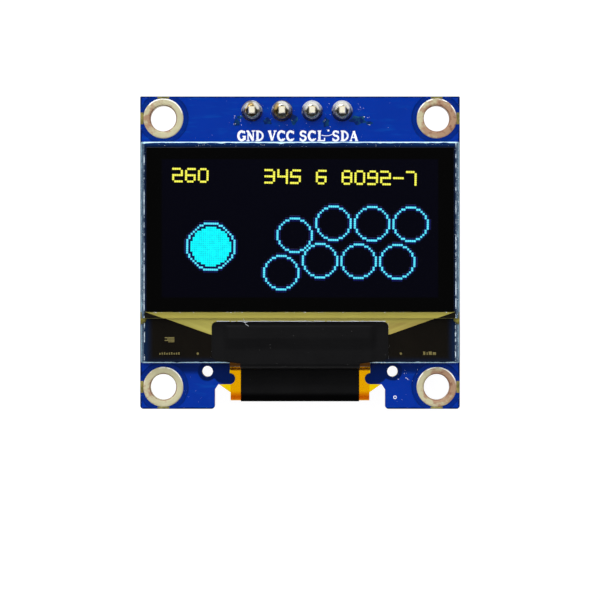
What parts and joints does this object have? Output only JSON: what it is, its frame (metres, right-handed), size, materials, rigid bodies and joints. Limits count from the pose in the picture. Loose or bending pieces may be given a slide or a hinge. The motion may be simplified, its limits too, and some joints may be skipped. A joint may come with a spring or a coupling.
{
  "type": "small oled display module",
  "caption": "Small graphic display module: a glass panel with a folded flex circuit on a square blue circuit board with corner mounting holes and a pin header.",
  "frame": {"origin": "centre of the four mounting holes, on the circuit board's back face", "axes": "+Z out of the display, towards the viewer; +X to the right and +Y towards the header edge as the display is read"},
  "size_m": [0.027, 0.0264, 0.0114],
  "materials": {
    "board": "blue solder mask on glass fibre laminate",
    "tinned_copper": "tinned copper",
    "black_plastic": "moulded",
    "pin_metal": "plated brass",
    "solder": "bright solder",
    "foam": "double-sided foam tape",
    "panel_glass": "cut glass",
    "polarizer_film": "smooth film",
    "lit_pixels": "lit organic layer",
    "cured_adhesive": "cured drops",
    "silicon": "polished silicon",
    "black_tape": "black polymer tape",
    "polyimide": "amber film",
    "tinned_lead": "matt tin plate",
    "capacitor_ceramic": "fired ceramic",
    "resistor_glaze": "black glaze"
  },
  "bodies": {
    "root": {"circuit_board": "board", "mounting_hole_rings": "tinned_copper", "header_hole_rings": "tinned_copper", "header_spacer": "black_plastic", "header_pins": "pin_metal", "header_solder": "solder", "foam_pads": "foam", "rear_glass": "panel_glass", "front_glass": "panel_glass", "polarizer": "polarizer_film", "pixel_layer": "lit_pixels", "sealant_frame": "cured_adhesive", "adhesive_drops": "cured_adhesive", "driver_chip": "silicon", "cover_tape": "black_tape", "flex_circuit": "polyimide", "flex_lands": "tinned_copper", "flex_solder": "solder", "regulator_body": "black_plastic", "regulator_leads": "tinned_lead", "diode_body": "black_plastic", "diode_leads": "tinned_lead", "capacitor_bodies": "capacitor_ceramic", "capacitor_ends": "tinned_lead", "resistor_bodies": "resistor_glaze", "resistor_ends": "tinned_lead", "small_part_lands": "tinned_copper", "small_part_solder": "solder"}
  },
  "joints": []
}
